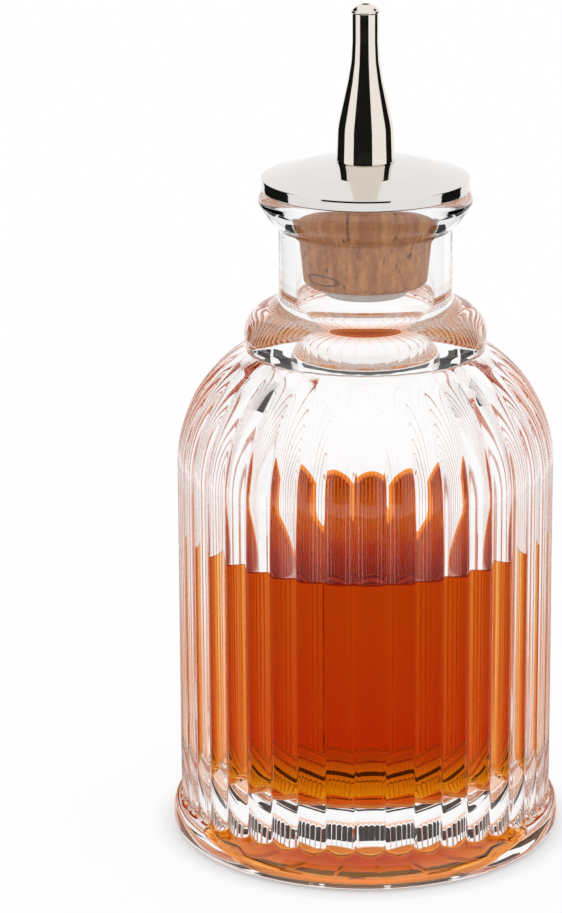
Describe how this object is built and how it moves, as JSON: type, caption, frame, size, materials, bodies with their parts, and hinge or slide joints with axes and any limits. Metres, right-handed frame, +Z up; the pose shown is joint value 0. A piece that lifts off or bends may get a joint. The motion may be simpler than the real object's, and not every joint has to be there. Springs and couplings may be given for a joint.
{
  "type": "bitters bottle",
  "caption": "Ribbed glass bitters bottle with a collared neck, part full of amber liquid, closed by a cork stopper that carries a metal plate and a slim tapered dash spout.",
  "frame": {"origin": "centre of the flat ring that the bottle stands on", "axes": "+Z up along the axis of the bottle, -Y towards the side that the picture shows"},
  "size_m": [0.0646, 0.0646, 0.1393],
  "materials": {
    "clear_glass": "clear, thick and fire polished",
    "bitters": "clear orange-red liquid",
    "plated_metal": "mirror polished, warm nickel tone",
    "natural_cork": "natural cork with fine pits",
    "washer_plastic": "pale, satin"
  },
  "bodies": {
    "bottle": {"glass_bottle": "clear_glass", "bitters_fill": "bitters"},
    "stopper": {"cork_stopper": "natural_cork", "cap_plate": "plated_metal", "dash_spout": "plated_metal", "stem_tube": "plated_metal", "retaining_washer": "washer_plastic"}
  },
  "joints": [
    {"name": "stopper_lift", "type": "slide", "parent": "bottle", "child": "stopper", "axis": [0, 0, 1], "range_m": [0, 0.02]}
  ]
}
